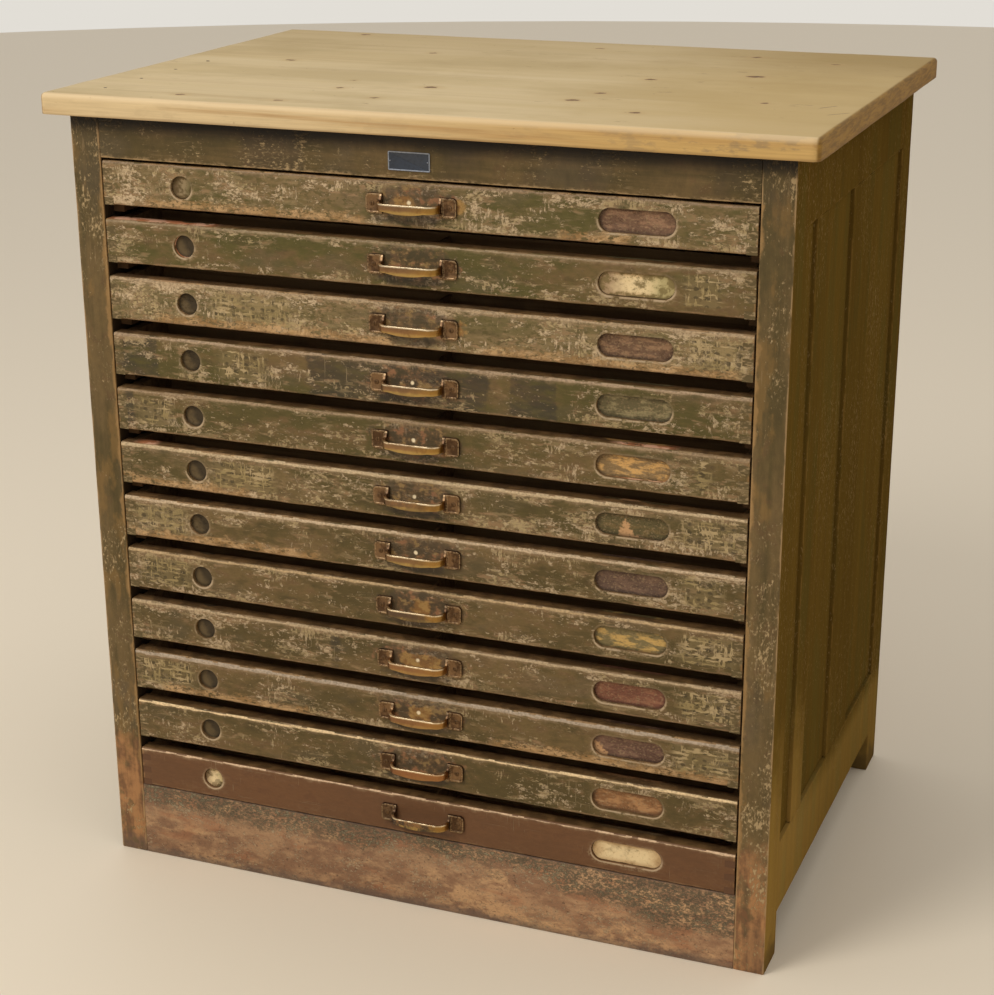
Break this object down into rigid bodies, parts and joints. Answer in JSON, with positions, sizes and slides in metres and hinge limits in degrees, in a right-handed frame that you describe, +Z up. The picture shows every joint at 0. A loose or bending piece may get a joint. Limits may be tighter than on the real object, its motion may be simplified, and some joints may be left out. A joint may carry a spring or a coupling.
{
  "type": "type case cabinet",
  "caption": "Floor-standing pine cabinet with a stack of shallow type cases that slide out to the front, each with a bow pull and a label recess.",
  "frame": {"origin": "middle of the floor rectangle under the whole cabinet, pulls included", "axes": "+X to the right facing the cases, +Y to the back, +Z up"},
  "size_m": [0.908, 0.633, 0.974],
  "materials": {
    "scrubbed_pine": "bare scrubbed pine, worn and knotty",
    "green_painted_pine": "old olive green paint over pine, worn through at the edges",
    "brown_painted_pine": "dark brown stain over pine",
    "bare_pine": "unpainted aged pine",
    "aged_brass": "aged brass with dark patina"
  },
  "bodies": {
    "carcass": {"top_board": "scrubbed_pine", "front_top_rail": "green_painted_pine", "plinth_board": "green_painted_pine", "back_top_rail": "bare_pine", "back_bottom_rail": "bare_pine", "back_boards": "bare_pine", "front_post_right": "green_painted_pine", "front_post_left": "green_painted_pine", "back_post_right": "green_painted_pine", "back_post_left": "green_painted_pine", "side_top_rail_right": "green_painted_pine", "side_top_rail_left": "green_painted_pine", "side_bottom_rail_right": "green_painted_pine", "side_bottom_rail_left": "green_painted_pine", "side_muntins_right": "green_painted_pine", "side_muntins_left": "green_painted_pine", "side_panels_right": "green_painted_pine", "side_panels_left": "green_painted_pine", "runners_right": "bare_pine", "runners_left": "bare_pine"},
    "case_01": {"case_01_front": "green_painted_pine", "case_01_tray": "bare_pine", "case_01_pull": "aged_brass"},
    "case_02": {"case_02_front": "green_painted_pine", "case_02_tray": "bare_pine", "case_02_pull": "aged_brass"},
    "case_03": {"case_03_front": "green_painted_pine", "case_03_tray": "bare_pine", "case_03_pull": "aged_brass"},
    "case_04": {"case_04_front": "green_painted_pine", "case_04_tray": "bare_pine", "case_04_pull": "aged_brass"},
    "case_05": {"case_05_front": "green_painted_pine", "case_05_tray": "bare_pine", "case_05_pull": "aged_brass"},
    "case_06": {"case_06_front": "green_painted_pine", "case_06_tray": "bare_pine", "case_06_pull": "aged_brass"},
    "case_07": {"case_07_front": "green_painted_pine", "case_07_tray": "bare_pine", "case_07_pull": "aged_brass"},
    "case_08": {"case_08_front": "green_painted_pine", "case_08_tray": "bare_pine", "case_08_pull": "aged_brass"},
    "case_09": {"case_09_front": "green_painted_pine", "case_09_tray": "bare_pine", "case_09_pull": "aged_brass"},
    "case_10": {"case_10_front": "green_painted_pine", "case_10_tray": "bare_pine", "case_10_pull": "aged_brass"},
    "case_11": {"case_11_front": "green_painted_pine", "case_11_tray": "bare_pine", "case_11_pull": "aged_brass"},
    "case_12": {"case_12_front": "brown_painted_pine", "case_12_tray": "bare_pine", "case_12_pull": "aged_brass"}
  },
  "joints": [
    {"name": "case_01_slide", "type": "slide", "parent": "carcass", "child": "case_01", "axis": [0, -1, 0], "range_m": [0, 0.45]},
    {"name": "case_02_slide", "type": "slide", "parent": "carcass", "child": "case_02", "axis": [0, -1, 0], "range_m": [0, 0.45]},
    {"name": "case_03_slide", "type": "slide", "parent": "carcass", "child": "case_03", "axis": [0, -1, 0], "range_m": [0, 0.45]},
    {"name": "case_04_slide", "type": "slide", "parent": "carcass", "child": "case_04", "axis": [0, -1, 0], "range_m": [0, 0.45]},
    {"name": "case_05_slide", "type": "slide", "parent": "carcass", "child": "case_05", "axis": [0, -1, 0], "range_m": [0, 0.45]},
    {"name": "case_06_slide", "type": "slide", "parent": "carcass", "child": "case_06", "axis": [0, -1, 0], "range_m": [0, 0.45]},
    {"name": "case_07_slide", "type": "slide", "parent": "carcass", "child": "case_07", "axis": [0, -1, 0], "range_m": [0, 0.45]},
    {"name": "case_08_slide", "type": "slide", "parent": "carcass", "child": "case_08", "axis": [0, -1, 0], "range_m": [0, 0.45]},
    {"name": "case_09_slide", "type": "slide", "parent": "carcass", "child": "case_09", "axis": [0, -1, 0], "range_m": [0, 0.45]},
    {"name": "case_10_slide", "type": "slide", "parent": "carcass", "child": "case_10", "axis": [0, -1, 0], "range_m": [0, 0.45]},
    {"name": "case_11_slide", "type": "slide", "parent": "carcass", "child": "case_11", "axis": [0, -1, 0], "range_m": [0, 0.45]},
    {"name": "case_12_slide", "type": "slide", "parent": "carcass", "child": "case_12", "axis": [0, -1, 0], "range_m": [0, 0.45]}
  ]
}
